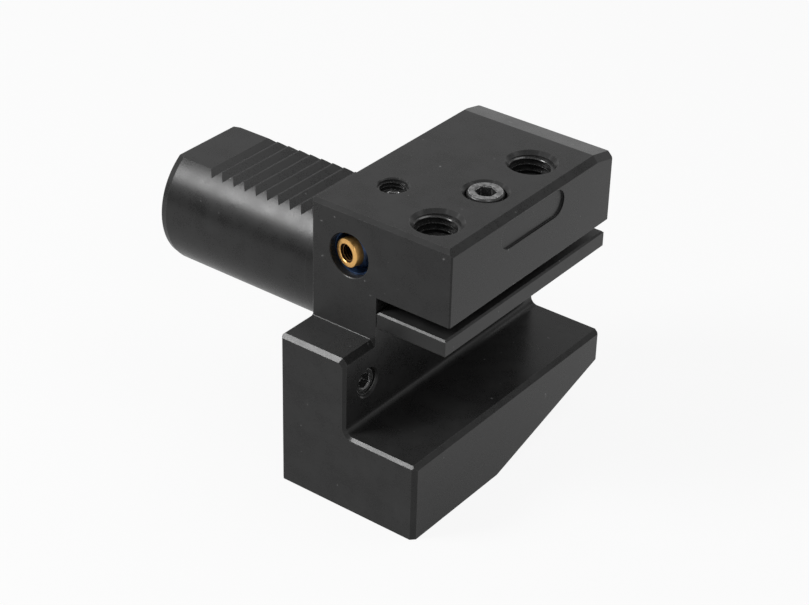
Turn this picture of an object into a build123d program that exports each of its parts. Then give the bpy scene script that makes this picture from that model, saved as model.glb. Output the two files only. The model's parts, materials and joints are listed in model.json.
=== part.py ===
from build123d import *
import os
from math import cos, radians, sin, sqrt

# A radial holder for square turning tools. The toothed shank is drawn into a lathe turret,
# and the tool lies across the front, clamped from above. The origin is on the shank's axis
# in the flange plane. The shank points to -X, the tool lies along Y, and up is +Z.
# All sizes are in millimetres.

# Shank
shank_diameter = 40
shank_length = 63
shank_end_chamfer = 2
flat_drop = 4
collar_length = 11
collar_height = 0.02
centre_hole_diameter = 5
centre_hole_mouth = 10.6
centre_hole_depth = 10

# Rack teeth on the shank's flat
tooth_pitch = 4
tooth_count = 10
tooth_depth = 1.6
tooth_groove_width = 3.5
rack_to_flange = 13

# Body
body_length = 44
wall_thickness = 21
block_over_shank = 12.5
block_front = 30
body_back = 42.5
jaw_front = 42.5
jaw_thickness = 23
jaw_tip_thickness = 9.4
bottom_flat_length = 37.5
shoulder_drop = 2.3
bevel_length = 7.6
bevel_drop = 1.6

# Tool slot and clamping plate
tool_height = 25
slot_corner_radius = 2.2
plate_opening = 1.5
plate_thickness = 5.1
plate_gap = 4.15
plate_wall_clearance = 0.3
plate_setback = 1
plate_edge = 0.5

# Edges of the body
fine_edge = 0.4
jaw_corner_edge = 1.2
ledge_front_edge = 1.2
ledge_end_edge = 0.8
shoulder_corner_radius = 0.4
shoulder_end_edge = 1.1
shoulder_front_edge = 1.6
block_end_edge = 1.0
block_front_edge = 1.7

# Shallow oblong recess in the block's outer face
recess_width = 8
recess_length = 28.4
recess_depth = 0.6
recess_to_block_end = 23.1
recess_to_block_top = 5.9

# Clamp screws, M12
clamp_screw_diameter = 12
clamp_screw_length = 20
clamp_screw_socket = 6
clamp_screw_socket_depth = 8
clamp_screw_point_edge = 1.75
clamp_screw_edge = 1
clamp_hole_edge = 1
screw_clearance = 0.1
front_screw_inset = 10.1
screw_pitch = 20.6
screw_offset = 0.5

# Retaining screw of the plate, M6, and the spring that lifts it
cap_screw_diameter = 6
cap_screw_length = 25
cap_head_overhang = 2
cap_socket = 5
cap_socket_depth = 3
cap_tip_gap = 0.1
cap_edge = 0.5
shank_hole_clearance = 0.5
head_bore_clearance = 0.5
head_bore_edge = 0.85
thread_clearance = 0.05
spring_room = 10.1
spring_wire = 1
spring_bore_clearance = 0.7
spring_turns = 5

# Coolant channels
channel_to_flange = 12
channel_inset = 18
channel_diameter = 5
channel_tail = 1
drilling_diameter = 4.5
drilling_overrun = 0.5
nozzle_drop = 12.7
lower_outlet_inset = 9.5
lower_outlet_height = 11.7

# Channel plugs, M8
plug_diameter = 8
plug_socket = 4
plug_socket_depth = 2.5
plug_edge = 0.6
plug_hole_edge = 0.35
top_plug_length = 4
top_plug_depth = 3
wall_plug_length = 6
wall_plug_depth = 1
wall_plug_hole_end = 0.5

# Coolant ports in the flange face and their O-rings
port_seal_bore = 5
port_seal_section = 1.75
port_seal_depth = 1.3
port_recess_clearance = 0.05
port_land = 1

# O-ring at the root of the shank
shank_groove_to_flange = 2.5
shank_groove_width = 2.6
shank_groove_depth = 2
shank_seal_section = 1.9
shank_seal_width = 2.4
shank_seal_clearance = 0.05

# Coolant nozzle: a swivelling ball in a pressed ring, with a screwed tip
tip_diameter = 8
tip_bore = 4.2
tip_reach = 6.2
tip_seat = 1
tip_edge = 0.4
nozzle_tilt = 12
ball_wall = 1.5
ball_bore = 5
ball_clearance = 0.1
ball_pocket_clearance = 0.2
ring_wall = 0.7
ring_mouth_wall = 0.45
ring_clearance = 0.05
ring_setback = 2.2
ring_to_ball_top = 1
ring_back = 0.3
ring_lip = 2
nozzle_recess_edge = 0.2
nozzle_seal_section = 1.8
nozzle_seal_diameter = 7.2
nozzle_seal_gap = 0.05
nozzle_seal_side_clearance = 0.1

# Heights
shank_radius = shank_diameter / 2
flat_z = shank_radius - flat_drop
block_top = shank_radius + block_over_shank
ledge_z = -tool_height
bottom_z = ledge_z - jaw_thickness
jaw_tip_z = ledge_z - jaw_tip_thickness
plate_bottom = plate_opening
plate_top = plate_bottom + plate_thickness
slot_ceiling = plate_top + plate_gap
bevel_z = block_top - bevel_drop

# Places along the tool slot
screw_x = (wall_thickness + body_length) / 2 - screw_offset
front_screw_y = front_screw_inset - block_front
cap_screw_y = front_screw_y + screw_pitch
rear_screw_y = cap_screw_y + screw_pitch
channel_y = channel_inset - block_front
slope_y = bottom_flat_length - jaw_front
bevel_y = body_back - bevel_length

# Screw and hole sizes
clamp_hole_radius = clamp_screw_diameter / 2 + screw_clearance
plug_hole_radius = plug_diameter / 2 + thread_clearance
cap_head_diameter = cap_screw_diameter + cap_head_overhang * 2
cap_head_height = cap_screw_diameter
head_bore_radius = cap_head_diameter / 2 + head_bore_clearance
spring_coil_radius = (cap_screw_diameter + spring_wire) / 2 + spring_bore_clearance
cap_head_bottom = plate_bottom + cap_tip_gap + cap_screw_length
head_bore_floor = cap_head_bottom - spring_room

# Coolant circuit
nozzle_z = block_top - nozzle_drop
outlet_y = lower_outlet_inset - jaw_front
outlet_z = ledge_z + lower_outlet_height
port_recess_radius = port_seal_bore / 2 + port_seal_section + port_recess_clearance
port_reach = shank_radius + port_land + port_recess_radius
port_z = sqrt(port_reach**2 - channel_y**2)
top_plug_top = block_top - top_plug_depth
top_plug_bottom = top_plug_top - top_plug_length
wall_plug_front = wall_thickness - wall_plug_depth
wall_plug_back = wall_plug_front - wall_plug_length
wall_plug_hole_floor = wall_plug_back - wall_plug_hole_end
channel_floor = nozzle_z - channel_diameter / 2 - channel_tail

# Nozzle: distances count from the ball's centre, and the seal lies where it meets the sphere
ball_radius = tip_diameter / 2 + ball_wall
ring_radius = ball_radius + ring_wall
ring_front = ball_radius - ring_to_ball_top
ball_depth = ring_front + ring_setback
ball_y = ball_depth - block_front
seal_ring_radius = nozzle_seal_diameter / 2
seal_reach = ball_radius + nozzle_seal_section / 2 + nozzle_seal_gap
seal_back = sqrt(seal_reach**2 - seal_ring_radius**2)
seal_pocket_radius = seal_ring_radius + nozzle_seal_section / 2 + nozzle_seal_side_clearance
seal_pocket_floor = seal_back + nozzle_seal_section / 2
ball_pocket_radius = ball_radius + ball_pocket_clearance
ball_pocket_depth = sqrt(ball_pocket_radius**2 - seal_pocket_radius**2)
nozzle_bore_radius = ring_radius + ring_clearance
ball_centre = (channel_to_flange, ball_y, nozzle_z)
nozzle_axis = Axis(ball_centre, (0, -1, 0))
nozzle_profile = Plane(origin=ball_centre, x_dir=(1, 0, 0), z_dir=(0, 0, -1))
tilt_cos = cos(radians(nozzle_tilt))
tilt_sin = sin(radians(nozzle_tilt))
tip_axis = Axis(ball_centre, (-tilt_sin, -tilt_cos, 0))
tip_profile = Plane(origin=ball_centre, x_dir=(tilt_cos, -tilt_sin, 0), z_dir=(0, 0, -1))

# Tolerance for finding edges by their place
tiny = 0.01


def edges_at(part, direction, **places):
    """The part's edges along one axis whose middle lies at the given coordinates."""
    found = part.edges().filter_by(direction)
    for letter, value in places.items():
        axis = {"x": Axis.X, "y": Axis.Y, "z": Axis.Z}[letter]
        found = found.filter_by_position(axis, value - tiny, value + tiny)
    return found


# Body: shank, flange wall, upper block and lower jaw in one piece of steel
with BuildPart() as holder_body:
    # Lower jaw: the side view of the ledge and the wall behind it
    with BuildSketch(Plane.XZ.offset(jaw_front)):
        with BuildLine():
            Polyline(
                (0, bottom_z),
                (body_length, bottom_z),
                (body_length, ledge_z),
                (wall_thickness, ledge_z),
                (wall_thickness, -shoulder_drop - shoulder_front_edge),
                (wall_thickness - shoulder_front_edge, -shoulder_drop),
                (0, -shoulder_drop),
                close=True,
            )
        make_face()
    extrude(amount=-(jaw_front + body_back))

    # Upper block: the same wall carried up, and the overhang that holds the screws
    with BuildSketch(Plane.XZ.offset(block_front)):
        with BuildLine():
            Polyline(
                (0, -shoulder_drop - shoulder_front_edge),
                (wall_thickness, -shoulder_drop - shoulder_front_edge),
                (wall_thickness, slot_ceiling),
                (body_length, slot_ceiling),
                (body_length, block_top),
                (0, block_top),
                close=True,
            )
        make_face()
    extrude(amount=-(block_front + body_back))

    # Sloping underside of the jaw and sloping end of the block's top
    with BuildSketch(Plane.YZ):
        with BuildLine():
            Polyline(
                (slope_y, bottom_z),
                (body_back, jaw_tip_z),
                (body_back, bottom_z),
                close=True,
            )
        make_face()
        with BuildLine():
            Polyline(
                (bevel_y, block_top),
                (body_back, block_top),
                (body_back, bevel_z),
                close=True,
            )
        make_face()
    extrude(amount=body_length, mode=Mode.SUBTRACT)

    # Corner radius of the tool slot, then the broken edges
    fillet(
        edges_at(holder_body, Axis.Y, x=wall_thickness, z=ledge_z),
        slot_corner_radius,
    )
    block_rim = holder_body.edges().filter_by_position(
        Axis.X, body_length - tiny, body_length + tiny
    )
    block_rim = block_rim.filter_by_position(Axis.Z, bevel_z, block_top + tiny)
    chamfer(block_rim, block_front_edge)
    chamfer(
        edges_at(holder_body, Axis.X, y=-block_front, z=block_top),
        block_end_edge,
    )
    chamfer(
        edges_at(holder_body, Axis.Y, x=body_length, z=ledge_z),
        ledge_front_edge,
    )
    chamfer(
        edges_at(holder_body, Axis.Z, x=body_length, y=-jaw_front),
        jaw_corner_edge,
    )
    chamfer(
        edges_at(holder_body, Axis.X, y=-jaw_front, z=ledge_z),
        ledge_end_edge,
    )
    shoulder_rim = holder_body.edges().filter_by_position(Axis.Y, -jaw_front - tiny, -jaw_front + tiny)
    shoulder_rim = shoulder_rim.filter_by_position(
        Axis.Z, -shoulder_drop - shoulder_front_edge, -shoulder_drop + tiny
    )
    chamfer(shoulder_rim, shoulder_end_edge)
    fillet(
        edges_at(holder_body, Axis.X, y=-block_front, z=-shoulder_drop),
        shoulder_corner_radius,
    )
    chamfer(
        edges_at(holder_body, Axis.Y, x=0, z=block_top)
        + edges_at(holder_body, Axis.Y, x=0, z=bottom_z)
        + edges_at(holder_body, Axis.Z, x=0, y=-jaw_front)
        + edges_at(holder_body, Axis.Z, x=0, y=-block_front)
        + edges_at(holder_body, Axis.Z, x=0, y=body_back)
        + edges_at(holder_body, Axis.Z, x=body_length, y=body_back)
        + edges_at(holder_body, Axis.Z, x=body_length, y=-block_front),
        fine_edge,
    )

    # Shank: the collar fills the turret's bore, and the toothed length is ground a little smaller
    with BuildSketch(Plane.YZ):
        Circle(shank_radius)
    extrude(amount=-collar_length)
    with BuildSketch(Plane(origin=(-collar_length, 0, 0), x_dir=(0, 0, 1), z_dir=(-1, 0, 0))):
        Circle(shank_radius - collar_height)
    extrude(amount=shank_length - collar_length)
    shank_end = holder_body.faces().sort_by(Axis.X)[0].edges()
    chamfer(shank_end, shank_end_chamfer)

    # Groove for the O-ring, next to the flange
    with BuildSketch(Plane.YZ.offset(-shank_groove_to_flange)):
        Circle(shank_radius)
        Circle(shank_radius - shank_groove_depth, mode=Mode.SUBTRACT)
    extrude(amount=-shank_groove_width, mode=Mode.SUBTRACT)

    # Clamping flat along the top of the shank, up to the collar
    with BuildSketch(Plane.XY.offset(flat_z)):
        with Locations((-shank_length, 0)):
            Rectangle(
                shank_length - collar_length,
                shank_diameter,
                align=(Align.MIN, Align.CENTER),
            )
    extrude(amount=flat_drop, mode=Mode.SUBTRACT)

    # Rack grooves across the flat
    groove_half = tooth_groove_width / 2
    with BuildSketch(Plane.XZ):
        with Locations((-rack_to_flange, flat_z)):
            with GridLocations(tooth_pitch, 0, tooth_count, 1, align=(Align.MAX, Align.CENTER)):
                Polygon((-groove_half, 0), (groove_half, 0), (0, -tooth_depth), align=None)
    extrude(amount=shank_radius, both=True, mode=Mode.SUBTRACT)

    # Centre hole in the end of the shank
    with BuildSketch(Plane.XZ):
        with BuildLine():
            cone_length = (centre_hole_mouth - centre_hole_diameter) / 2 * sqrt(3)
            Polyline(
                (-shank_length, 0),
                (-shank_length, centre_hole_mouth / 2),
                (-shank_length + cone_length, centre_hole_diameter / 2),
                (-shank_length + centre_hole_depth, centre_hole_diameter / 2),
                (-shank_length + centre_hole_depth, 0),
                close=True,
            )
        make_face()
    revolve(axis=Axis.X, mode=Mode.SUBTRACT)

    # Holes of the two clamp screws
    with Locations((screw_x, front_screw_y, block_top), (screw_x, rear_screw_y, block_top)):
        CounterSinkHole(
            clamp_hole_radius,
            clamp_hole_radius + clamp_hole_edge,
            depth=block_top - slot_ceiling,
            counter_sink_angle=90,
        )

    # Stepped hole of the retaining screw, with the spring's seat on its floor
    with Locations((screw_x, cap_screw_y, block_top)):
        CounterBoreHole(
            cap_screw_diameter / 2 + shank_hole_clearance,
            head_bore_radius,
            counter_bore_depth=block_top - head_bore_floor,
            depth=block_top - slot_ceiling,
        )
        CounterSinkHole(
            head_bore_radius,
            head_bore_radius + head_bore_edge,
            depth=head_bore_edge,
            counter_sink_angle=90,
        )

    # Vertical coolant channel, widened at the top for its plug
    with Locations((channel_to_flange, channel_y, block_top)):
        CounterBoreHole(
            channel_diameter / 2,
            plug_hole_radius,
            counter_bore_depth=block_top - top_plug_bottom,
            depth=block_top - channel_floor,
        )
        CounterSinkHole(
            plug_hole_radius,
            plug_hole_radius + plug_hole_edge,
            depth=plug_hole_edge,
            counter_sink_angle=90,
        )

    # Nozzle recess in the block's end face, down to the vertical channel
    with BuildSketch(nozzle_profile):
        with BuildLine():
            drilling_end = channel_y - ball_y + drilling_overrun
            Polyline(
                (0, ball_depth),
                (nozzle_bore_radius + nozzle_recess_edge, ball_depth),
                (nozzle_bore_radius, ball_depth - nozzle_recess_edge),
                (nozzle_bore_radius, -ring_back),
                (ball_pocket_radius, -ring_back),
                (ball_pocket_radius, -ball_pocket_depth),
                (seal_pocket_radius, -ball_pocket_depth),
                (seal_pocket_radius, -seal_pocket_floor),
                (drilling_diameter / 2, -seal_pocket_floor),
                (drilling_diameter / 2, -drilling_end),
                (0, -drilling_end),
                close=True,
            )
        make_face()
    revolve(axis=nozzle_axis, mode=Mode.SUBTRACT)

    # Coolant ports from the flange face: to the vertical channel, and through the wall
    with BuildSketch(Plane.YZ):
        with Locations((channel_y, port_z), (outlet_y, outlet_z)):
            Circle(port_recess_radius)
    extrude(amount=port_seal_depth, mode=Mode.SUBTRACT)
    with BuildSketch(Plane.YZ):
        with Locations((channel_y, port_z)):
            Circle(drilling_diameter / 2)
    extrude(amount=channel_to_flange + drilling_overrun, mode=Mode.SUBTRACT)
    with BuildSketch(Plane.YZ):
        with Locations((outlet_y, outlet_z)):
            Circle(drilling_diameter / 2)
    extrude(amount=wall_thickness, mode=Mode.SUBTRACT)

    # Threaded hole of the wall plug
    with Locations(Plane(origin=(wall_thickness, outlet_y, outlet_z), z_dir=(1, 0, 0))):
        CounterSinkHole(
            plug_hole_radius,
            plug_hole_radius + plug_hole_edge,
            depth=wall_thickness - wall_plug_hole_floor,
            counter_sink_angle=90,
        )

    # Shallow oblong recess in the outer face of the block
    recess_y = body_back - recess_to_block_end - recess_length / 2
    with BuildSketch(Plane.YZ.offset(body_length)):
        with Locations((recess_y, block_top - recess_to_block_top)):
            SlotOverall(recess_length, recess_width)
    extrude(amount=-recess_depth, mode=Mode.SUBTRACT)

# Clamping plate: a strip between the overhang and the tool
with BuildPart() as clamping_plate:
    plate_inner = wall_thickness + plate_wall_clearance
    plate_outer = body_length - plate_setback
    plate_middle = ((plate_inner + plate_outer) / 2, (body_back - block_front) / 2)
    with BuildSketch(Plane.XY.offset(plate_bottom)):
        with Locations(plate_middle):
            Rectangle(plate_outer - plate_inner, block_front + body_back)
    extrude(amount=plate_thickness)
    chamfer(clamping_plate.faces().sort_by(Axis.Z)[-1].edges(), plate_edge)
    chamfer(clamping_plate.faces().sort_by(Axis.Z)[0].edges(), plate_edge)
    with Locations((screw_x, cap_screw_y, plate_top)):
        Hole(cap_screw_diameter / 2 + thread_clearance)


def set_screw(plane, diameter, length, socket, socket_depth, point_edge, edge):
    """A headless screw whose top lies on the plane, with a hexagon socket in it."""
    with BuildPart() as screw:
        with BuildSketch(plane):
            Circle(diameter / 2)
        extrude(amount=-length)
        ends = screw.edges().filter_by(GeomType.CIRCLE)
        ends = ends.sort_by(Axis(plane.origin, plane.z_dir))
        chamfer(ends[-1], edge)
        chamfer(ends[0], point_edge)
        with BuildSketch(plane):
            RegularPolygon(socket / 2, 6, major_radius=False)
        extrude(amount=-socket_depth, mode=Mode.SUBTRACT)
    return screw.part


# Clamp screws, standing on the plate
clamp_screw_top = plate_top + clamp_screw_length
clamp_screws = {
    "clamp_screw_front": front_screw_y,
    "clamp_screw_rear": rear_screw_y,
}
clamp_screw_parts = {
    name: set_screw(
        Plane(origin=(screw_x, y, clamp_screw_top)),
        clamp_screw_diameter,
        clamp_screw_length,
        clamp_screw_socket,
        clamp_screw_socket_depth,
        clamp_screw_point_edge,
        clamp_screw_edge,
    )
    for name, y in clamp_screws.items()
}

# Plugs of the drilled coolant channels
channel_plug_top = set_screw(
    Plane(origin=(channel_to_flange, channel_y, top_plug_top)),
    plug_diameter,
    top_plug_length,
    plug_socket,
    plug_socket_depth,
    plug_edge,
    plug_edge,
)
channel_plug_wall = set_screw(
    Plane(origin=(wall_plug_front, outlet_y, outlet_z), z_dir=(1, 0, 0)),
    plug_diameter,
    wall_plug_length,
    plug_socket,
    plug_socket_depth,
    plug_edge,
    plug_edge,
)

# Retaining screw of the plate
with BuildPart() as plate_retaining_screw:
    head_plane = Plane(origin=(screw_x, cap_screw_y, cap_head_bottom))
    with BuildSketch(head_plane):
        Circle(cap_head_diameter / 2)
    extrude(amount=cap_head_height)
    chamfer(
        plate_retaining_screw.faces().sort_by(Axis.Z)[-1].edges(),
        cap_edge,
    )
    with BuildSketch(head_plane):
        Circle(cap_screw_diameter / 2)
    extrude(amount=-cap_screw_length)
    chamfer(
        plate_retaining_screw.faces().sort_by(Axis.Z)[0].edges(),
        cap_edge,
    )
    with BuildSketch(head_plane.offset(cap_head_height)):
        RegularPolygon(cap_socket / 2, 6, major_radius=False)
    extrude(amount=-cap_socket_depth, mode=Mode.SUBTRACT)

# Spring under the head, ground flat at both ends
with BuildPart() as plate_lift_spring:
    wire_radius = spring_wire / 2
    spring_axis = (screw_x, cap_screw_y, head_bore_floor + wire_radius / 2)
    spring_rise = spring_room - wire_radius
    with BuildLine() as spring_line:
        Helix(spring_rise / spring_turns, spring_rise, spring_coil_radius, spring_axis)
    with BuildSketch(Plane(spring_line.line @ 0, z_dir=spring_line.line % 0)):
        Circle(wire_radius)
    sweep(is_frenet=True)
    split(bisect_by=Plane.XY.offset(head_bore_floor), keep=Keep.TOP)
    split(bisect_by=Plane.XY.offset(cap_head_bottom), keep=Keep.BOTTOM)

# Ball of the nozzle, bored through and counterbored for the tip
with BuildPart() as nozzle_ball:
    with BuildSketch(tip_profile):
        Circle(ball_radius)
        with BuildLine():
            Polyline(
                (-ball_radius, -ball_radius),
                (ball_bore / 2, -ball_radius),
                (ball_bore / 2, -tip_seat),
                (tip_diameter / 2 + thread_clearance, -tip_seat),
                (tip_diameter / 2 + thread_clearance, ball_radius),
                (-ball_radius, ball_radius),
                close=True,
            )
        make_face(mode=Mode.SUBTRACT)
    revolve(axis=tip_axis)

# Brass tip, screwed into the ball, with its own inner thread
with BuildPart() as nozzle_tip:
    with BuildSketch(tip_profile):
        with Locations((tip_bore / 2, -tip_seat)):
            Rectangle(
                (tip_diameter - tip_bore) / 2,
                tip_reach + tip_seat,
                align=(Align.MIN, Align.MIN),
            )
    revolve(axis=tip_axis)
    chamfer(nozzle_tip.faces().sort_by(tip_axis)[-1].edges(), tip_edge)

# Pressed ring in front of the ball
with BuildPart() as nozzle_ring:
    lip_radius = sqrt((ball_radius + ball_clearance) ** 2 - ring_lip**2)
    with BuildSketch(nozzle_profile):
        with Locations((0, -ring_back)):
            Rectangle(ring_radius, ring_front + ring_back, align=(Align.MIN, Align.MIN))
        Circle(ball_radius + ball_clearance, mode=Mode.SUBTRACT)
        with BuildLine():
            Polyline(
                (0, ring_lip),
                (lip_radius, ring_lip),
                (ring_radius - ring_mouth_wall, ring_front),
                (0, ring_front),
                close=True,
            )
        make_face(mode=Mode.SUBTRACT)
    revolve(axis=nozzle_axis)

# O-ring behind the ball
with BuildPart() as nozzle_seal:
    with BuildSketch(nozzle_profile):
        with Locations((seal_ring_radius, -seal_back)):
            Circle(nozzle_seal_section / 2)
    revolve(axis=nozzle_axis)

# O-ring at the root of the shank, at its squeezed size
with BuildPart() as shank_seal:
    groove_middle = -shank_groove_to_flange - shank_groove_width / 2
    seal_bottom = shank_radius - shank_groove_depth + shank_seal_clearance
    with BuildSketch(Plane.XZ):
        with Locations((groove_middle, seal_bottom + shank_seal_section / 2)):
            Ellipse(shank_seal_width / 2, shank_seal_section / 2)
    revolve(axis=Axis.X)


def port_seal(y, z):
    """An O-ring in the recess of a coolant port, at its squeezed size."""
    with BuildPart() as seal:
        with BuildSketch(Plane.XY.offset(z)):
            with Locations((port_seal_depth / 2, y + (port_seal_bore + port_seal_section) / 2)):
                Ellipse(port_seal_depth / 2, port_seal_section / 2)
        revolve(axis=Axis((0, y, z), (1, 0, 0)))
    return seal.part


parts = {
    "holder_body": holder_body.part,
    "clamping_plate": clamping_plate.part,
    **clamp_screw_parts,
    "plate_retaining_screw": plate_retaining_screw.part,
    "plate_lift_spring": plate_lift_spring.part,
    "channel_plug_top": channel_plug_top,
    "channel_plug_wall": channel_plug_wall,
    "nozzle_ball": nozzle_ball.part,
    "nozzle_tip": nozzle_tip.part,
    "nozzle_ring": nozzle_ring.part,
    "nozzle_seal": nozzle_seal.part,
    "shank_seal": shank_seal.part,
    "port_seal_upper": port_seal(channel_y, port_z),
    "port_seal_lower": port_seal(outlet_y, outlet_z),
}

os.makedirs("parts", exist_ok=True)
for name, part in parts.items():
    part.label = name
    export_step(part, f"parts/{name}.step")
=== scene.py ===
import json
from math import acos, cos, pi, radians, sin, tau

import bmesh
import bpy
import numpy as np
from mathutils import Matrix, Vector


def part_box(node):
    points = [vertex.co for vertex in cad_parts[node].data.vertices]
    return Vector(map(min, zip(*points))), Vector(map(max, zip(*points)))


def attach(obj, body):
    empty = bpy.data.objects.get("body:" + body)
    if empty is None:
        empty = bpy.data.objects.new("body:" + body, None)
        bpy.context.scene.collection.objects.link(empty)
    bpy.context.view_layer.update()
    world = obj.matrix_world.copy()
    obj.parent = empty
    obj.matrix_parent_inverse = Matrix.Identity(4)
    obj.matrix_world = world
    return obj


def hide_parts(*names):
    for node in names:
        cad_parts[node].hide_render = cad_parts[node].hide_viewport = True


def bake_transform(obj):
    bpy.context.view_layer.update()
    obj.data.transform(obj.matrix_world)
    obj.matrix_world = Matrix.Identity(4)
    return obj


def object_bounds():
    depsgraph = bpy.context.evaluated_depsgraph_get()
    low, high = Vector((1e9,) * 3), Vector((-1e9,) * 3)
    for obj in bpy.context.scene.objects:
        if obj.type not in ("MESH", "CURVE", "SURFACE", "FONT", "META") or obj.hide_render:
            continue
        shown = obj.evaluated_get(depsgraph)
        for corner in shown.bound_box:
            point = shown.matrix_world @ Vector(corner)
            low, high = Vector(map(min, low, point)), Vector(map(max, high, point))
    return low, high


# A black-oxidised radial tool holder, with the threads, screw heads and finishes that the CAD
# frame leaves out. Lengths are in metres, in the frame of the CAD model.

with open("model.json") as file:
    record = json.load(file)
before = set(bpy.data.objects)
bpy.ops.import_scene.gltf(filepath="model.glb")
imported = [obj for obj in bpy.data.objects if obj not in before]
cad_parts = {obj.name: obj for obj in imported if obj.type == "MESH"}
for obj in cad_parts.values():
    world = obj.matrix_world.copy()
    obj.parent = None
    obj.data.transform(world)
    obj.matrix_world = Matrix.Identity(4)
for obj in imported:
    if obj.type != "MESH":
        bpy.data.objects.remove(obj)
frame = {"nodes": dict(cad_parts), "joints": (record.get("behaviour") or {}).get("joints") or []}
cad_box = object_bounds()
nodes = frame["nodes"]
joints = {joint["name"]: joint for joint in frame["joints"]}

MM = 0.001

# Photograph's camera, which looks at a point near the shank's root
IMAGE_WIDTH = 809
SENSOR_WIDTH = 36.0
FOCAL_PIXELS = 2095.3
CAMERA_AZIMUTH = radians(36.608)
CAMERA_ELEVATION = radians(31.568)
CAMERA_ROLL = radians(1.505)
CAMERA_RIGHT = 6.157 * MM
CAMERA_UP = -10.913 * MM
CAMERA_DISTANCE = 566.391 * MM

# Studio: how white the wall and floor are seen, and where the wall turns grey
WORLD_FILL = 0.5
CEILING_LEFT = 0.6
CEILING_RIGHT = 0.45
CEILING_TURN = 0.4
WALL_LOW = radians(8)
WALL_HIGH = radians(22)
FLOOR_GREY = 0.5
FLOOR_SEEN = 0.9
# Painted reflection: the floor's white glow as gloss sees it, none at the front left and nearly full at the back,
# which paints shade into the front faces' reflections
FLOOR_PAINTED_REFLECTION_FRONT = 0.0
FLOOR_PAINTED_REFLECTION_BACK = 0.95
FLOOR_PAINTED_REFLECTION_TURN = 0.09
CARD_WIDTH = 0.7
CARD_TOP = 0.1
CARD_DISTANCE = 0.5

# Sizes that the threads are made to
CLAMP_PITCH = 1.75 * MM
CLAMP_RADIUS = 6.0 * MM
CLAMP_HOLE_RADIUS = 6.1 * MM
CLAMP_HOLE_MOUTH = 1.0 * MM
CLAMP_SOCKET = 6.0 * MM
CLAMP_SOCKET_DEPTH = 8.0 * MM
CLAMP_POINT_EDGE = 1.75 * MM
CLAMP_EDGE = 1.15 * MM
SLOT_CEILING_GAP = 4.15 * MM
CAP_PITCH = 1.0 * MM
CAP_RADIUS = 3.0 * MM
CAP_HEAD_HEIGHT = 6.0 * MM
CAP_HEAD_EDGE = 0.45 * MM
CAP_SOCKET = 5.0 * MM
CAP_SOCKET_DEPTH = 3.0 * MM
CAP_THREAD_LENGTH = 18.0 * MM
CAP_POINT_EDGE = 0.62 * MM
CAP_KNURL = 0.13 * MM
PLUG_PITCH = 1.0 * MM
PLUG_RADIUS = 4.0 * MM
PLUG_EDGE = 0.6 * MM
PLUG_HOLE_RADIUS = 4.05 * MM
PLUG_HOLE_MOUTH = 0.35 * MM
PLUG_SOCKET = 4.0 * MM
PLUG_SOCKET_DEPTH = 2.5 * MM
TIP_PITCH = 0.8 * MM
TIP_RADIUS = 4.0 * MM
TIP_THREAD_RADIUS = 2.5 * MM
TIP_MOUTH = 0.15 * MM
TIP_EDGE = 0.4 * MM
TIP_SEAT = 1.0 * MM
TIP_REACH = 6.2 * MM
TIP_TILT = radians(12)
DULL_EDGE_ABOVE = 31.3 * MM

# Spring under the retaining screw's head
SPRING_WIRE = 1.0 * MM
SPRING_TURNS = 5
SPRING_STEPS = 48
SPRING_SIDES = 12

# Lead on the shank's end, which covers the plain bevel of the frame
SHANK_FLAT = 16.0 * MM
LEAD_LENGTH = 2.0 * MM
LEAD_DROP = 0.42 * MM
LEAD_STEPS = 180
SHANK_BEVEL = 2.0 * MM
SHANK_TOOTHED_RADIUS = 19.98 * MM
HIDDEN_OVERLAP = 0.12 * MM
SKIN = 0.01 * MM

# Proportions of the thread profile, as shares of the pitch
THREAD_DEPTH = 0.58
CREST_SHARE = 0.14
ROOT_SHARE = 0.26
THREAD_STEPS = 96
SHARP_ANGLE = radians(32)


# Meshes from rings of points

def angles():
    return np.arange(THREAD_STEPS) * tau / THREAD_STEPS


def ring(radius, z):
    """One ring of points about +Z. The radius is a number or one value for each angle."""
    turn = angles()
    radius = np.broadcast_to(radius, turn.shape)
    return np.stack([radius * np.cos(turn), radius * np.sin(turn), np.full(turn.shape, z)], axis=1)


def hexagon(across_flats, turn=0.0):
    """Radius of a regular hexagon at each angle."""
    third = tau / 6
    local = (angles() - turn + third / 2) % third - third / 2
    return across_flats / 2 / np.cos(local)


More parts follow.
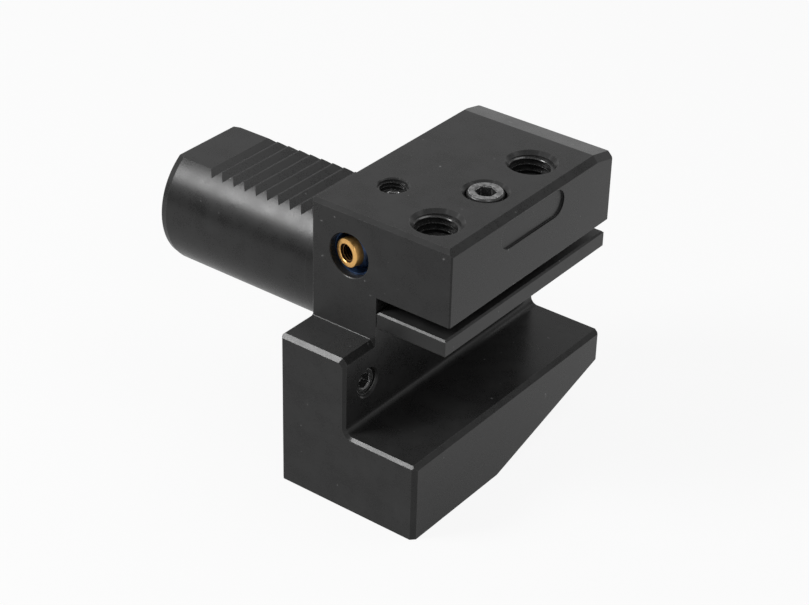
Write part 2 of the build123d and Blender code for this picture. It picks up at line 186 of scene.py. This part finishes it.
class Shape:
    """Points and faces gathered ring by ring, and welded at the end."""

    def __init__(self):
        self.points = []
        self.faces = []
        self.count = 0

    def add(self, points):
        start = self.count
        self.points.append(np.asarray(points, float))
        self.count += len(points)
        return start

    def rings(self, rows, close_first=False, close_last=False):
        """Joins rings one to the next. A closed end is filled from its centre."""
        size = len(rows[0])
        starts = [self.add(row) for row in rows]
        for a, b in zip(starts, starts[1:]):
            for i in range(size):
                j = (i + 1) % size
                self.faces.append((a + i, a + j, b + j, b + i))
        for wanted, start, row in ((close_first, starts[0], rows[0]), (close_last, starts[-1], rows[-1])):
            if wanted:
                middle = self.add([row.mean(axis=0)])
                for i in range(size):
                    self.faces.append((start + i, start + (i + 1) % size, middle))

    def helix(self, pitch, bottom, top, profile, limit, phase=0.0):
        """A thread's flank surface. profile lists (share of pitch, radius), limit caps the radius."""
        per_turn = THREAD_STEPS
        low = int(np.floor((bottom / pitch - phase) - 2)) * per_turn
        high = int(np.ceil((top / pitch - phase) + 1)) * per_turn
        steps = np.arange(low, high + 1)
        rows = []
        for share, radius in profile:
            z = np.clip((steps / per_turn + share + phase) * pitch, bottom, top)
            r = limit(z, np.full(z.shape, radius))
            turn = steps * tau / per_turn
            rows.append(np.stack([r * np.cos(turn), r * np.sin(turn), z], axis=1))
        size = len(rows)
        start = self.add(np.stack(rows, axis=1).reshape(-1, 3))
        for i in range(len(steps) - 1):
            for k in range(size):
                if k + 1 < size:
                    upper, next_upper = i * size + k + 1, (i + 1) * size + k + 1
                elif i + 1 + per_turn < len(steps):
                    upper, next_upper = (i + per_turn) * size, (i + 1 + per_turn) * size
                else:
                    continue
                self.faces.append(
                    (start + i * size + k, start + (i + 1) * size + k, start + next_upper, start + upper)
                )

    def make(self, name, matrix, material, body):
        """Builds the object, in place, on its body. With no body it is left unattached."""
        mesh = bpy.data.meshes.new(name)
        mesh.from_pydata(np.concatenate(self.points).tolist(), [], self.faces)
        work = bmesh.new()
        work.from_mesh(mesh)
        bmesh.ops.remove_doubles(work, verts=work.verts, dist=2e-7)
        bmesh.ops.dissolve_degenerate(work, edges=work.edges, dist=1e-7)
        bmesh.ops.recalc_face_normals(work, faces=work.faces)
        work.to_mesh(mesh)
        work.free()
        mesh.transform(matrix)
        mesh.shade_smooth()
        mesh.set_sharp_from_angle(angle=SHARP_ANGLE)
        piece = bpy.data.objects.new(name, mesh)
        bpy.context.scene.collection.objects.link(piece)
        mesh.materials.append(material)
        if body:
            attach(piece, body)
        return piece


def outer_profile(pitch, radius):
    """Crest at the radius, root a thread's depth inside it."""
    root = radius - THREAD_DEPTH * pitch
    crest, valley = CREST_SHARE / 2, ROOT_SHARE / 2
    return [(-crest, radius), (crest, radius), (0.5 - valley, root), (0.5 + valley, root)]


def inner_profile(pitch, radius):
    """The hole's thread, half a pitch round from the screw's, with its crest on the inside."""
    inside = radius - THREAD_DEPTH * pitch * 0.88
    crest, valley = CREST_SHARE / 2, ROOT_SHARE / 2
    return [
        (valley - 0.5, radius),
        (0.5 - valley - ROOT_SHARE, radius),
        (0.5 - crest, inside),
        (0.5 + crest, inside),
    ]


def upright(x, y, z):
    return Matrix.Translation((x, y, z))


def along(origin, direction):
    """A frame whose +Z points along the direction."""
    return Matrix.Translation(origin) @ Vector(direction).to_track_quat("Z", "Y").to_matrix().to_4x4()


def threaded_screw(name, node, body, matrix, length, pitch, radius, socket, depth, point_edge, edge, material):
    """A headless screw from z = 0 at its point to its length, with a hexagon socket in the top."""
    shape = Shape()

    def cone(z, r):
        low = radius - point_edge + z
        high = radius - edge + (length - z)
        return np.minimum(r, np.minimum(low, high))

    shape.helix(pitch, 0.0, length, outer_profile(pitch, radius), cone)
    cup = radius * 0.42
    shape.rings(
        [ring(radius - point_edge, 0.0), ring(cup, 0.0), ring(cup * 0.3, cup * 0.45)], close_last=True
    )
    shape.rings([ring(radius - edge, length), *hexagon_socket(length, socket, depth)], close_last=True)
    piece = shape.make(name, matrix, material, body)
    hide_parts(node)
    return piece


def hexagon_socket(top, socket, depth):
    """Rings of a hexagon socket with a flared mouth and a drilled point, from its mouth inwards."""
    mouth = socket / 2 / cos(pi / 6) + 0.12 * MM
    flare = top - (mouth - socket / 2) * 0.5
    return [
        ring(mouth, top),
        ring(np.minimum(hexagon(socket), mouth), flare),
        ring(hexagon(socket), top - depth),
        ring(socket * 0.44, top - depth),
        ring(socket * 0.04, top - depth - socket * 0.2),
    ]


def retaining_screw(matrix, length, head_radius, material):
    """The socket head screw, from z = 0 under its head: knurled head, plain neck and thread."""
    shape = Shape()
    neck = CAP_THREAD_LENGTH - length

    def cone(z, r):
        point = CAP_RADIUS - CAP_POINT_EDGE + (z + length)
        runout = CAP_RADIUS - (neck - z)
        return np.maximum(np.minimum(r, point), np.minimum(runout, CAP_RADIUS))

    shape.helix(CAP_PITCH, -length, neck, outer_profile(CAP_PITCH, CAP_RADIUS), cone)
    shape.rings([ring(CAP_RADIUS - CAP_POINT_EDGE, -length), ring(CAP_RADIUS * 0.1, -length)], close_last=True)
    knurl = head_radius - CAP_KNURL * (np.arange(THREAD_STEPS) % 2)
    inside = head_radius - CAP_KNURL
    shape.rings(
        [
            ring(CAP_RADIUS, neck),
            ring(CAP_RADIUS, 0.0),
            ring(inside - CAP_KNURL, 0.0),
            ring(inside, CAP_KNURL),
            ring(knurl, CAP_KNURL * 2),
            ring(knurl, CAP_HEAD_HEIGHT - CAP_HEAD_EDGE * 1.5),
            ring(inside, CAP_HEAD_HEIGHT - CAP_HEAD_EDGE),
            ring(inside - CAP_HEAD_EDGE, CAP_HEAD_HEIGHT),
            *hexagon_socket(CAP_HEAD_HEIGHT, CAP_SOCKET, CAP_SOCKET_DEPTH),
        ],
        close_last=True,
    )
    piece = shape.make("threaded_retaining_screw", matrix, material, "clamp")
    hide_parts("plate_retaining_screw")


def threaded_tip(matrix, material):
    """The brass tip, from z = 0 at its seat in the ball: a plain outside and a thread inside."""
    shape = Shape()
    length = TIP_SEAT + TIP_REACH

    def cone(z, r):
        mouth = TIP_THREAD_RADIUS + TIP_MOUTH - (length - z)
        return np.maximum(r, np.maximum(TIP_THREAD_RADIUS - z, mouth))

    shape.helix(TIP_PITCH, 0.0, length, inner_profile(TIP_PITCH, TIP_THREAD_RADIUS), cone)
    shape.rings([
        ring(TIP_THREAD_RADIUS, 0.0),
        ring(TIP_RADIUS, 0.0),
        ring(TIP_RADIUS, length - TIP_EDGE),
        ring(TIP_RADIUS - TIP_EDGE * 0.3, length - TIP_EDGE * 0.3),
        ring(TIP_RADIUS - TIP_EDGE, length),
        ring(TIP_THREAD_RADIUS + TIP_MOUTH, length),
    ])
    piece = shape.make("threaded_nozzle_tip", matrix, material, "nozzle")
    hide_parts("nozzle_tip")


def lift_spring(material):
    """The coil under the screw's head, ground flat at its ends."""
    low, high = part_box("plate_lift_spring")
    wire = SPRING_WIRE / 2
    coil = (high.x - low.x) / 2 - wire
    section = np.arange(SPRING_SIDES) * tau / SPRING_SIDES
    rows = []
    for share in np.linspace(0, 1, SPRING_TURNS * SPRING_STEPS + 1):
        turn = share * SPRING_TURNS * tau
        height = low.z + wire / 2 + share * (high.z - low.z - wire)
        radius = coil + wire * np.cos(section)
        z = np.clip(height + wire * np.sin(section), low.z, high.z)
        rows.append(np.stack([radius * cos(turn), radius * sin(turn), z], axis=1))
    shape = Shape()
    shape.rings(rows, close_first=True, close_last=True)
    middle = (low + high) / 2
    piece = shape.make("coiled_lift_spring", upright(middle.x, middle.y, 0), material, None)
    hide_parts("plate_lift_spring")
    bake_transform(piece)


def shank_lead(end, material):
    """Gentle lead on the shank's end, as a ring of steel over the bevel, open at the flat."""
    root = SHANK_TOOTHED_RADIUS
    section = [
        (end + SKIN, root - SHANK_BEVEL - HIDDEN_OVERLAP),
        (end + SKIN, root - LEAD_DROP),
        (end + LEAD_LENGTH, root + SKIN / 2),
        (end + LEAD_LENGTH + HIDDEN_OVERLAP, root - HIDDEN_OVERLAP),
    ]
    rows = []
    for x, radius in section:
        opening = acos((SHANK_FLAT - SKIN / 2) / radius)
        turn = np.linspace(opening, tau - opening, LEAD_STEPS)
        rows.append(np.stack([np.full(turn.shape, x), -radius * np.sin(turn), radius * np.cos(turn)], axis=1))
    shape = Shape()
    starts = [shape.add(row) for row in rows]
    for a, b in zip(starts, starts[1:] + starts[:1]):
        for i in range(LEAD_STEPS - 1):
            shape.faces.append((a + i, a + i + 1, b + i + 1, b + i))
    shape.faces.append(tuple(starts))
    shape.faces.append(tuple(start + LEAD_STEPS - 1 for start in starts))
    shape.make("shank_end_lead", Matrix.Identity(4), material, "holder")


def hole_thread(name, body, matrix, length, pitch, radius, mouth_edge, material, phase=0.0, wall=0.02 * MM):
    """Thread ridges on the wall of a plain hole, fading into its countersunk mouth at the top."""
    shape = Shape()

    def cone(z, r):
        low = radius - z
        high = radius + mouth_edge - (length - z)
        return np.minimum(np.maximum(r, np.maximum(low, high)), radius + wall)

    shape.helix(pitch, -wall, length - mouth_edge + wall, inner_profile(pitch, radius), cone, phase)
    shape.rings([ring(radius + wall, -wall), ring(radius + wall, length - mouth_edge + wall)])
    return shape.make(name, matrix, material, body)


# Materials

class Nodes:
    """Short calls for the nodes of one material or world."""

    def __init__(self, tree):
        self.tree = tree
        tree.nodes.clear()

    def add(self, kind, values=None, **settings):
        made = self.tree.nodes.new(kind)
        for key, value in settings.items():
            setattr(made, key, value)
        for key, value in (values or {}).items():
            self.put(made.inputs[key], value)
        return made

    def put(self, socket, value):
        if isinstance(value, bpy.types.NodeSocket):
            self.tree.links.new(value, socket)
        elif isinstance(value, bpy.types.Node):
            self.tree.links.new(value.outputs[0], socket)
        else:
            socket.default_value = value

    def maths(self, operation, a, b=0.0, clamp=False):
        return self.add("ShaderNodeMath", {0: a, 1: b}, operation=operation, use_clamp=clamp).outputs[0]

    def spread(self, value, low, high, to_low=0.0, to_high=1.0):
        return self.add(
            "ShaderNodeMapRange", {0: value, 1: low, 2: high, 3: to_low, 4: to_high}, clamp=True
        ).outputs[0]

    def mix(self, share, a, b):
        made = self.add("ShaderNodeMix", data_type="RGBA")
        self.put(made.inputs[0], share)
        self.put(made.inputs[6], a)
        self.put(made.inputs[7], b)
        return made.outputs[2]

    def noise(self, where, scale, detail=3.0, rough=0.5):
        return self.add(
            "ShaderNodeTexNoise", {"Vector": where, "Scale": scale, "Detail": detail, "Roughness": rough}
        ).outputs[0]

    def stretch(self, where, scale):
        return self.add("ShaderNodeVectorMath", {0: where, 1: scale}, operation="MULTIPLY").outputs[0]


def grey(value):
    return (value, value, value, 1.0)


def principled(n, **values):
    shader = n.add("ShaderNodeBsdfPrincipled")
    for key, value in values.items():
        n.put(shader.inputs[key.replace("_", " ")], value)
    output = n.add("ShaderNodeOutputMaterial")
    n.put(output.inputs["Surface"], shader)
    return shader


def lay_lines(n, place, normal):
    """Fine parallel marks, round the shank and along each flat face."""
    split = n.add("ShaderNodeSeparateXYZ", {0: normal})
    side = n.maths("GREATER_THAN", n.maths("ABSOLUTE", split.outputs[0]), 0.7)
    across = n.noise(n.stretch(place, (9000, 60, 60)), 1.0, 2.0)
    upward = n.noise(n.stretch(place, (60, 60, 9000)), 1.0, 2.0)
    return n.mix(side, across, upward)


def dull_edge(n, place, normal):
    """The blasted edge along the front of the block's top, which doesn't catch the soft box."""
    facing = n.add("ShaderNodeVectorMath", {0: normal, 1: (0.0, -0.7071, 0.7071)}, operation="DOT_PRODUCT")
    height = n.add("ShaderNodeSeparateXYZ", {0: place}).outputs[2]
    high = n.maths("GREATER_THAN", height, DULL_EDGE_ABOVE)
    return n.maths("MULTIPLY", n.spread(facing.outputs["Value"], 0.97, 0.99), high)


def blacked_steel(name, base, low, high, level, edge_tint=0.06, bevel=0.12 * MM, top_wear=0.0):
    """Black-oxidised steel: dark satin, faintly mottled and ground, paler where its edges are worn."""
    material = bpy.data.materials.new(name)
    material.use_nodes = True
    n = Nodes(material.node_tree)
    where = n.add("ShaderNodeTexCoord")
    place, normal = where.outputs["Object"], where.outputs["Normal"]
    cloud = n.noise(place, 140, 4.0, 0.6)
    grit = n.noise(place, 2600, 3.0, 0.6)
    fine = n.noise(place, 9000, 2.0)
    lines = lay_lines(n, place, normal)
    rounded = n.add("ShaderNodeBevel", {"Radius": bevel}, samples=6)
    flat = n.add("ShaderNodeNewGeometry").outputs["Normal"]
    same = n.add("ShaderNodeVectorMath", {0: rounded.outputs[0], 1: flat}, operation="DOT_PRODUCT")
    edge = n.spread(same.outputs["Value"], 0.995, 0.93)
    worn = n.maths("MULTIPLY", edge, n.spread(grit, 0.3, 0.6, 0.35, 1.0))
    mottle = n.mix(n.spread(cloud, 0.3, 0.7), grey(base * 0.82), grey(base * 1.2))
    mottle = n.mix(n.maths("MULTIPLY", n.spread(grit, 0.55, 0.75), 0.25), mottle, grey(base * 1.7))
    nick = n.maths("MULTIPLY", n.spread(n.noise(place, 620, 1.0), 0.785, 0.8), n.spread(grit, 0.4, 0.55))
    mottle = n.mix(n.maths("MULTIPLY", nick, 0.8), mottle, grey(0.14))
    upward = n.spread(n.add("ShaderNodeSeparateXYZ", {0: normal}).outputs[2], 0.9, 0.98)
    patches = n.spread(n.noise(place, 900, 3.0), 0.42, 0.6, top_wear * 0.3, top_wear)
    rubbed = n.maths("MULTIPLY", upward, patches)
    mottle = n.mix(rubbed, mottle, grey(edge_tint))
    colour = n.mix(worn, mottle, grey(edge_tint))
    rough = n.spread(cloud, 0.3, 0.7, low, high)
    rough = n.maths("ADD", rough, n.spread(grit, 0.3, 0.7, -0.03, 0.05))
    rough = n.maths("MAXIMUM", rough, n.maths("MULTIPLY", dull_edge(n, place, normal), 0.75))
    height = n.maths("ADD", n.maths("MULTIPLY", fine, 0.35), n.maths("MULTIPLY", lines, 0.65))
    bump = n.add(
        "ShaderNodeBump",
        {"Height": height, "Normal": rounded, "Strength": 0.10, "Distance": 0.01 * MM},
    )
    principled(
        n,
        Base_Color=colour,
        Roughness=rough,
        Specular_IOR_Level=level,
        Normal=bump,
    )
    return material


def brass_metal(middle, direction):
    """Turned brass: bright outside, with painted shade in the bore, whose colour is dark but for the crests of its
    thread, which keep half the brass colour.
    """
    material = bpy.data.materials.new("turned_brass")
    material.use_nodes = True
    n = Nodes(material.node_tree)
    place = n.add("ShaderNodeTexCoord").outputs["Object"]
    cloud = n.noise(place, 900, 3.0)
    lines = n.noise(n.stretch(place, (300, 14000, 300)), 1.0, 2.0)
    colour = n.mix(cloud, (0.80, 0.42, 0.12, 1.0), (0.93, 0.58, 0.22, 1.0))
    from_middle = n.add("ShaderNodeVectorMath", {0: place, 1: middle}, operation="SUBTRACT").outputs[0]
    turned = n.add("ShaderNodeVectorMath", {0: from_middle, 1: direction}, operation="CROSS_PRODUCT").outputs[0]
    radius = n.add("ShaderNodeVectorMath", {0: turned}, operation="LENGTH").outputs["Value"]
    # Painted shade: the colour is darkened inside the bore, and on the thread's crests by half
    outside = n.spread(radius, TIP_THREAD_RADIUS, TIP_THREAD_RADIUS + TIP_MOUTH * 0.7)
    crest = n.spread(radius, TIP_THREAD_RADIUS - 0.28 * MM, TIP_THREAD_RADIUS - 0.4 * MM, 0.0, 0.5)
    colour = n.mix(n.maths("MAXIMUM", outside, crest), (0.05, 0.028, 0.015, 1.0), colour)
    bump = n.add("ShaderNodeBump", {"Height": lines, "Strength": 0.12, "Distance": 0.01 * MM})
    principled(
        n,
        Base_Color=colour,
        Metallic=1.0,
        Roughness=n.spread(cloud, 0.3, 0.7, 0.34, 0.42),
        Normal=bump,
    )
    return material


def blued_metal():
    material = bpy.data.materials.new("blued_steel")
    material.use_nodes = True
    n = Nodes(material.node_tree)
    place = n.add("ShaderNodeTexCoord").outputs["Object"]
    cloud = n.noise(place, 520, 3.0)
    dents = n.noise(place, 1100, 2.0)
    colour = n.mix(n.spread(cloud, 0.35, 0.65), (0.018, 0.03, 0.06, 1.0), (0.03, 0.065, 0.15, 1.0))
    bump = n.add("ShaderNodeBump", {"Height": dents, "Strength": 0.35, "Distance": 0.12 * MM})
    principled(
        n,
        Base_Color=colour,
        Metallic=0.55,
        Roughness=n.spread(dents, 0.3, 0.7, 0.26, 0.4),
        Normal=bump,
    )
    return material


def spring_metal():
    material = bpy.data.materials.new("spring_wire")
    material.use_nodes = True
    n = Nodes(material.node_tree)
    place = n.add("ShaderNodeTexCoord").outputs["Object"]
    cloud = n.noise(place, 1500, 3.0)
    bump = n.add(
        "ShaderNodeBump", {"Height": n.noise(place, 9000), "Strength": 0.1, "Distance": 0.01 * MM}
    )
    principled(
        n,
        Base_Color=n.mix(cloud, grey(0.26), grey(0.42)),
        Metallic=1.0,
        Roughness=n.spread(cloud, 0.3, 0.7, 0.28, 0.4),
        Normal=bump,
    )
    return material


def rubber():
    material = bpy.data.materials.new("seal_rubber")
    material.use_nodes = True
    n = Nodes(material.node_tree)
    place = n.add("ShaderNodeTexCoord").outputs["Object"]
    cloud = n.noise(place, 1200, 4.0)
    bump = n.add("ShaderNodeBump", {"Height": n.noise(place, 5000), "Strength": 0.2, "Distance": 0.02 * MM})
    principled(
        n,
        Base_Color=n.mix(cloud, grey(0.014), grey(0.028)),
        Roughness=n.spread(cloud, 0.3, 0.7, 0.55, 0.7),
        Normal=bump,
    )
    return material


body_steel = blacked_steel("body_steel", 0.0155, 0.24, 0.33, 0.24)
plate_steel = blacked_steel("plate_steel", 0.0165, 0.3, 0.4, 0.26)
screw_steel = blacked_steel("screw_steel", 0.02, 0.2, 0.3, 0.6, edge_tint=0.3, bevel=0.1 * MM)
cap_steel = blacked_steel("cap_steel", 0.02, 0.22, 0.34, 0.6, edge_tint=0.55, bevel=0.16 * MM, top_wear=0.22)
plug_steel = blacked_steel("plug_steel", 0.02, 0.2, 0.3, 1.0, edge_tint=0.6, bevel=0.16 * MM)
thread_steel = blacked_steel("thread_steel", 0.014, 0.18, 0.26, 0.5, edge_tint=0.12, bevel=0.06 * MM)
tip_direction = Vector((-sin(TIP_TILT), -cos(TIP_TILT), 0))
swivel = Vector(joints["nozzle_swivel"]["pos_m"])
brass = brass_metal(tuple(swivel), tuple(tip_direction))
blued = blued_metal()
spring_wire = spring_metal()
seal_rubber = rubber()

finish = {
    "holder_body": body_steel,
    "clamping_plate": plate_steel,
    "plate_retaining_screw": screw_steel,
    "channel_plug_top": plug_steel,
    "channel_plug_wall": plug_steel,
    "plate_lift_spring": spring_wire,
    "nozzle_ball": blued,
    "nozzle_ring": blued,
    "nozzle_tip": brass,
    "nozzle_seal": seal_rubber,
    "shank_seal": seal_rubber,
    "port_seal_upper": seal_rubber,
    "port_seal_lower": seal_rubber,
}
for name, material in finish.items():
    data = nodes[name].data
    data.materials.clear()
    data.materials.append(material)

# Clamp screws and the threads of their holes
holder_low, holder_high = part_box("holder_body")
plate_low, plate_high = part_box("clamping_plate")
slot_ceiling = plate_high.z + SLOT_CEILING_GAP
for side in ("front", "rear"):
    x, y, _ = joints[f"clamp_screw_{side}_turn"]["pos_m"]
    low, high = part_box(f"clamp_screw_{side}")
    threaded_screw(
        f"threaded_clamp_screw_{side}",
        f"clamp_screw_{side}",
        f"{side}_screw",
        upright(x, y, low.z),
        high.z - low.z,
        CLAMP_PITCH,
        CLAMP_RADIUS,
        CLAMP_SOCKET,
        CLAMP_SOCKET_DEPTH,
        CLAMP_POINT_EDGE,
        CLAMP_EDGE,
        screw_steel,
    )
    hole_thread(
        f"clamp_hole_thread_{side}",
        "holder",
        upright(x, y, slot_ceiling),
        holder_high.z - slot_ceiling,
        CLAMP_PITCH,
        CLAMP_HOLE_RADIUS,
        CLAMP_HOLE_MOUTH,
        thread_steel,
        phase=(low.z - slot_ceiling) / CLAMP_PITCH,
    )

# Channel plugs: the top one stands upright, the wall one lies along the shank
plug_low, plug_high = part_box("channel_plug_top")
wall_low, wall_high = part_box("channel_plug_wall")
wall_face = wall_high.x + 1.0 * MM
plug_middle = (plug_low + plug_high) / 2
wall_middle = (wall_low + wall_high) / 2
plugs = {
    "top": (upright(plug_middle.x, plug_middle.y, plug_low.z), plug_high.z - plug_low.z, holder_high.z - plug_low.z),
    "wall": (
        along((wall_low.x, wall_middle.y, wall_middle.z), (1, 0, 0)),
        wall_high.x - wall_low.x,
        wall_face - wall_low.x,
    ),
}
for side, (matrix, length, hole_length) in plugs.items():
    threaded_screw(
        f"threaded_channel_plug_{side}",
        f"channel_plug_{side}",
        "holder",
        matrix,
        length,
        PLUG_PITCH,
        PLUG_RADIUS,
        PLUG_SOCKET,
        PLUG_SOCKET_DEPTH,
        PLUG_EDGE,
        PLUG_EDGE,
        plug_steel,
    )
    hole_thread(
        f"plug_hole_thread_{side}",
        "holder",
        matrix,
        hole_length,
        PLUG_PITCH,
        PLUG_HOLE_RADIUS,
        PLUG_HOLE_MOUTH,
        thread_steel,
    )

# Retaining screw, nozzle tip and the shank's end
cap_low, cap_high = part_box("plate_retaining_screw")
cap_middle = (cap_low + cap_high) / 2
head_bottom = cap_high.z - CAP_HEAD_HEIGHT
retaining_screw(
    upright(cap_middle.x, cap_middle.y, head_bottom),
    head_bottom - cap_low.z,
    (cap_high.x - cap_low.x) / 2,
    cap_steel,
)
threaded_tip(along(swivel - tip_direction * TIP_SEAT, tip_direction), brass)
shank_lead(holder_low.x, body_steel)
lift_spring(spring_wire)


# Scene: floor, world, lamps and camera

def area_lamp(name, direction, distance, width, height, radiance, colour=(1.0, 1.0, 1.0)):
    """A soft box seen from the object in the given direction. Radiance is its brightness."""
    data = bpy.data.lights.new(name, "AREA")
    data.shape = "RECTANGLE"
    data.size = width
    data.size_y = height
    data.energy = radiance * pi * width * height
    data.color = colour
    lamp = bpy.data.objects.new(name, data)
    way = Vector(direction).normalized()
    lamp.location = way * distance
    lamp.rotation_euler = way.to_track_quat("Z", "Y").to_euler()
    bpy.context.scene.collection.objects.link(lamp)
    return lamp


def seen_directly(n, gloss=1.0):
    """1 for a ray from the camera or through glass, the given share for gloss, 0 for soft light."""
    path = n.add("ShaderNodeLightPath")
    seen = n.maths("MAXIMUM", path.outputs["Is Camera Ray"], path.outputs["Is Transmission Ray"])
    return n.maths("MAXIMUM", seen, n.maths("MULTIPLY", path.outputs["Is Glossy Ray"], gloss))


def pale_world():
    """A white wall round the table that greys upwards, and an even soft light from all of it."""
    world = bpy.data.worlds.new("studio")
    bpy.context.scene.world = world
    world.use_nodes = True
    n = Nodes(world.node_tree)
    way = n.add("ShaderNodeTexCoord").outputs["Generated"]
    parts = n.add("ShaderNodeSeparateXYZ", {0: way})
    ceiling = n.spread(parts.outputs[0], -CEILING_TURN, CEILING_TURN, CEILING_LEFT, CEILING_RIGHT)
    wall = n.spread(parts.outputs[2], sin(WALL_LOW), sin(WALL_HIGH), 1.0, ceiling)
    strength = n.add(
        "ShaderNodeMapRange", {0: seen_directly(n), 1: 0.0, 2: 1.0, 3: WORLD_FILL, 4: wall}, clamp=True
    ).outputs[0]
    background = n.add("ShaderNodeBackground", {"Color": grey(1.0), "Strength": strength})
    output = n.add("ShaderNodeOutputWorld")
    n.put(output.inputs["Surface"], background)


def pale_floor():
    """A wide plain floor. Part of its white is shown to the camera alone, so its shadow stays soft. In reflections
    its white glow is painted, from nearly full at the back to none at the front left: painted shade in the
    reflections on the object's front faces.
    """
    size = 6.0
    mesh = bpy.data.meshes.new("floor")
    corners = [(-size, -size, 0), (size, -size, 0), (size, size, 0), (-size, size, 0)]
    mesh.from_pydata(corners, [], [(0, 1, 2, 3)])
    floor = bpy.data.objects.new("floor", mesh)
    floor.location.z = cad_box[0].z
    bpy.context.scene.collection.objects.link(floor)
    material = bpy.data.materials.new("floor_white")
    material.use_nodes = True
    n = Nodes(material.node_tree)
    paper = n.add("ShaderNodeBsdfDiffuse", {"Color": grey(FLOOR_GREY)})
    white = n.add("ShaderNodeEmission", {"Color": grey(1.0), "Strength": 1.0})
    place = n.add("ShaderNodeTexCoord").outputs["Object"]
    # Painted reflection: the glow that gloss sees fades from the back to nothing at the front left, a painted shade
    # on the object's front faces
    across = n.add("ShaderNodeVectorMath", {0: place, 1: (0.6, 0.8, 0.0)}, operation="DOT_PRODUCT")
    gloss = n.spread(
        across.outputs["Value"], -FLOOR_PAINTED_REFLECTION_TURN, FLOOR_PAINTED_REFLECTION_TURN, FLOOR_PAINTED_REFLECTION_FRONT, FLOOR_PAINTED_REFLECTION_BACK
    )
    share = n.maths("MULTIPLY", seen_directly(n, gloss), FLOOR_SEEN)
    blend = n.add("ShaderNodeMixShader", {0: share, 1: paper.outputs[0], 2: white.outputs[0]})
    output = n.add("ShaderNodeOutputMaterial")
    n.put(output.inputs["Surface"], blend)
    mesh.materials.append(material)


def black_card():
    """A dark board at the front left, which only gloss sees: the dark band along the shank."""
    mesh = bpy.data.meshes.new("black_card")
    floor = cad_box[0].z
    corners = [
        (-CARD_WIDTH / 2, 0, floor),
        (CARD_WIDTH / 2, 0, floor),
        (CARD_WIDTH / 2, 0, CARD_TOP),
        (-CARD_WIDTH / 2, 0, CARD_TOP),
    ]
    mesh.from_pydata(corners, [], [(0, 1, 2, 3)])
    card = bpy.data.objects.new("black_card", mesh)
    way = Vector((-0.508, -0.861, 0)).normalized()
    card.location = way * CARD_DISTANCE
    card.rotation_euler = way.to_track_quat("Y", "Z").to_euler()
    card.visible_camera = False
    card.visible_diffuse = False
    card.visible_shadow = False
    card.visible_transmission = False
    bpy.context.scene.collection.objects.link(card)
    material = bpy.data.materials.new("card_black")
    material.use_nodes = True
    n = Nodes(material.node_tree)
    cloth = n.add("ShaderNodeBsdfDiffuse", {"Color": grey(0.01)})
    output = n.add("ShaderNodeOutputMaterial")
    n.put(output.inputs["Surface"], cloth)
    mesh.materials.append(material)


def photo_camera():
    """The photograph's view: azimuth and elevation of the camera about the origin, and its roll."""
    data = bpy.data.cameras.new("camera")
    data.sensor_width = SENSOR_WIDTH
    data.lens = FOCAL_PIXELS / IMAGE_WIDTH * SENSOR_WIDTH
    data.clip_start = 0.01
    back = Vector((
        sin(CAMERA_AZIMUTH) * cos(CAMERA_ELEVATION),
        -cos(CAMERA_AZIMUTH) * cos(CAMERA_ELEVATION),
        sin(CAMERA_ELEVATION),
    ))
    right = (-back).cross(Vector((0, 0, 1))).normalized()
    up = right.cross(-back)
    view_right = cos(CAMERA_ROLL) * right + sin(CAMERA_ROLL) * up
    view_up = -sin(CAMERA_ROLL) * right + cos(CAMERA_ROLL) * up
    place = right * CAMERA_RIGHT + up * CAMERA_UP + back * CAMERA_DISTANCE
    camera = bpy.data.objects.new("camera", data)
    turn = Matrix((view_right, view_up, back)).transposed().to_4x4()
    camera.matrix_world = Matrix.Translation(place) @ turn
    bpy.context.scene.collection.objects.link(camera)
    bpy.context.scene.camera = camera


pale_world()
pale_floor()
area_lamp("soft_box_left", (-0.508, -0.58, 0.62), 1.0, 0.34, 0.44, 22.0)
area_lamp("soft_box_right", (0.635, -0.40, 0.62), 1.0, 0.26, 0.26, 5.0)
area_lamp("overhead", (0.36, 0.44, 0.82), 1.2, 0.6, 0.6, 3.0)
black_card()
photo_camera()
bpy.context.scene.view_settings.view_transform = "Standard"
